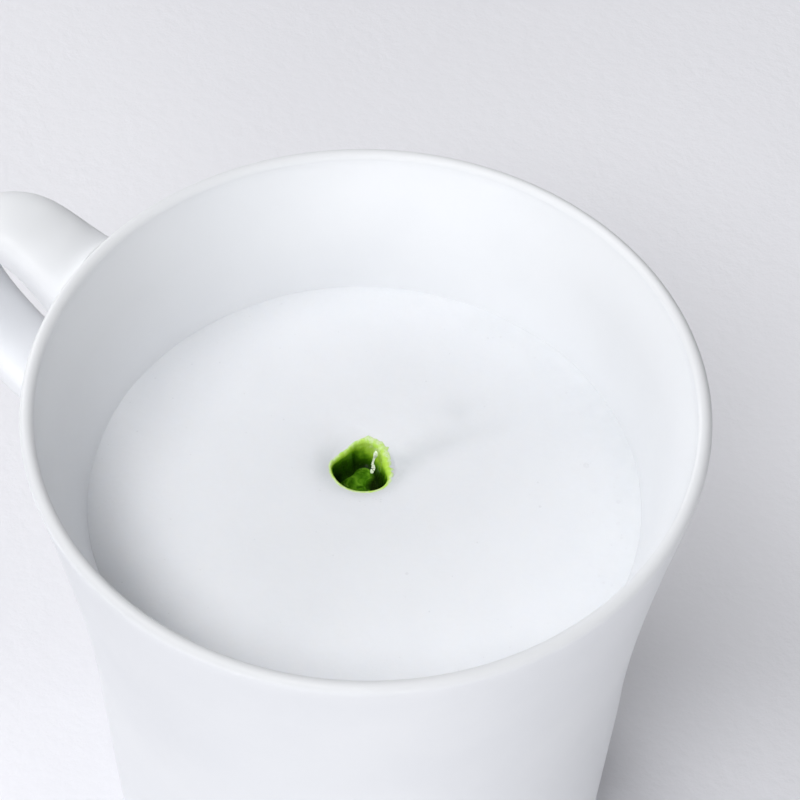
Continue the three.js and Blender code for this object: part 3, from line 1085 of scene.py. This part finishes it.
def matcha_wet():
    """Wet matcha: pale where it is thin at the lip, yellow green below, then deep green to near black
    towards the pool, partly its own colour and partly painted shade down the hollow.
    """
    m = Nodes("matcha_wet")
    uneven = m.noise(900.0, 4.0, 0.6)
    wetness_and_shade = m.attribute("wetness_and_shade")
    wavy = m.math("ADD", wetness_and_shade, m.remap(uneven, 0.3, 0.7, -0.10, 0.10))
    # Painted shade: the ramp's darkest stops, near black, stand for shade deep in the hollow
    film = m.ramp(wavy, [
        (0.02, (0.660, 0.820, 0.420)),
        (0.12, (0.520, 0.780, 0.130)),
        (0.26, (0.400, 0.690, 0.045)),
        (0.42, (0.150, 0.370, 0.012)),
        (0.60, (0.030, 0.105, 0.002)),
        (0.84, (0.007, 0.026, 0.001)),
    ])
    swirls = m.ramp(m.noise(620.0, 5.0, 0.6, 1.2), [
        (0.36, (0.018, 0.065, 0.001)),
        (0.52, (0.050, 0.165, 0.004)),
        (0.66, (0.130, 0.310, 0.016)),
    ])
    pool = m.remap(wetness_and_shade, 0.86, 0.97)
    colour = m.mix(pool, film, swirls)
    # Painted shade on the right side of the hollow's wall and pool
    colour = m.mix(m.attribute("shade"), colour, (0.004, 0.009, 0.001))
    grains = m.remap(m.voronoi(3000.0), 0.1, 0.35, 1.0, 0.0)
    colour = m.mix(m.math("MULTIPLY", grains, 0.16), colour, (0.09, 0.20, 0.006))
    froth = m.bump(m.voronoi(1800.0), 0.10, 0.0002)
    runs = m.bump(m.noise(500.0, 4.0), 0.20, 0.0003, froth)
    m.set(Base_Color=colour, Roughness=m.remap(uneven, 0.3, 0.7, 0.22, 0.34), Normal=runs)
    m.set(Subsurface_Weight=0.10, Subsurface_Radius=(0.6, 1.0, 0.15), Subsurface_Scale=0.0006)
    m.set(Specular_IOR_Level=0.05)
    return m.material


def matcha_bubble():
    """Froth bubbles on the pool."""
    m = Nodes("matcha_bubble")
    tone = m.ramp(m.noise(1400.0, 3.0), [(0.3, (0.045, 0.14, 0.004)), (0.7, (0.15, 0.33, 0.02))])
    m.set(Base_Color=tone, Roughness=0.15, Normal=m.bump(m.noise(3000.0), 0.1, 0.0001))
    m.set(Specular_IOR_Level=0.3)
    return m.material


def painted_glint():
    """Painted glint: a near-white, wet and bright froth colour standing in for a highlight on the
    hollow's back wall.
    """
    m = Nodes("painted_glint")
    tone = m.ramp(m.noise(1500.0, 3.0), [(0.3, (0.84, 0.96, 0.70)), (0.7, (0.94, 0.98, 0.88))])
    m.set(Base_Color=tone, Roughness=0.12, Normal=m.bump(m.noise(3000.0), 0.1, 0.0001))
    return m.material


def table_top():
    """Plain pale table with a fine grain."""
    m = Nodes("pale_table")
    tone = m.ramp(m.noise(9.0, 4.0), [(0.3, (0.748, 0.749, 0.792)), (0.7, (0.773, 0.775, 0.814))])
    grain = m.bump(m.noise(420.0, 4.0, 0.6), 0.26, 0.0007)
    m.set(Base_Color=tone, Roughness=0.62, Normal=grain)
    return m.material


# Stage
def make_table():
    """A plain table that the mug stands on."""
    half = 2500.0
    points = [(-half, -half, 0.0), (half, -half, 0.0), (half, half, 0.0), (-half, half, 0.0)]
    table = add_mesh("table", points, [(0, 1, 2, 3)], table_top(), smooth=False)


# Soft round lights: bearing seen from the camera with 0 behind the mug and 90 to its right,
# height angle, watts
SOFT_LIGHTS = [
    (202, 55, 10.86),
    (315, 14, 7.90),
    (270, 55, 7.70),
    (180, 14, 4.35),
    (135, 14, 3.90),
    (225, 14, 2.50),
    (0, 90, 2.46),
    (0, 35, 1.38),
    (45, 35, 1.06),
]
LIGHT_SIZE = 0.6
LIGHT_DISTANCE = 1.5
LIGHT_AIM = 0.1
ROOM_BRIGHTNESS = 0.06


def soft_light(bearing, height_angle, power):
    """A soft round light that looks at the mug."""
    data = bpy.data.lights.new("soft_light", "AREA")
    data.shape = "DISK"
    data.size = LIGHT_SIZE
    data.energy = power
    light = bpy.data.objects.new("soft_light", data)
    turn, rise = math.radians(bearing), math.radians(height_angle)
    level = LIGHT_DISTANCE * math.cos(rise)
    x, y = plan(level * math.sin(turn), level * math.cos(turn))
    light.location = (x, y, LIGHT_AIM + LIGHT_DISTANCE * math.sin(rise))
    aim = Vector((0.0, 0.0, LIGHT_AIM)) - light.location
    light.rotation_euler = aim.to_track_quat("-Z", "Y").to_euler()
    bpy.context.scene.collection.objects.link(light)


def make_light():
    """Soft light from the front left, with weaker light all round."""
    for bearing, height_angle, power in SOFT_LIGHTS:
        soft_light(bearing, height_angle, power)
    world = bpy.data.worlds.new("room")
    world.use_nodes = True
    background = world.node_tree.nodes["Background"]
    background.inputs["Color"].default_value = (1.0, 1.0, 1.0, 1.0)
    background.inputs["Strength"].default_value = ROOM_BRIGHTNESS
    bpy.context.scene.world = world


bpy.context.scene.view_settings.view_transform = "Standard"
make_camera()
make_table()
make_light()
make_mug(porcelain())
make_milk(milk_froth())
make_milk_bubbles(bubble_skin())
make_lining(matcha_wet())
make_matcha_froth(matcha_bubble())
make_painted_glint(painted_glint())
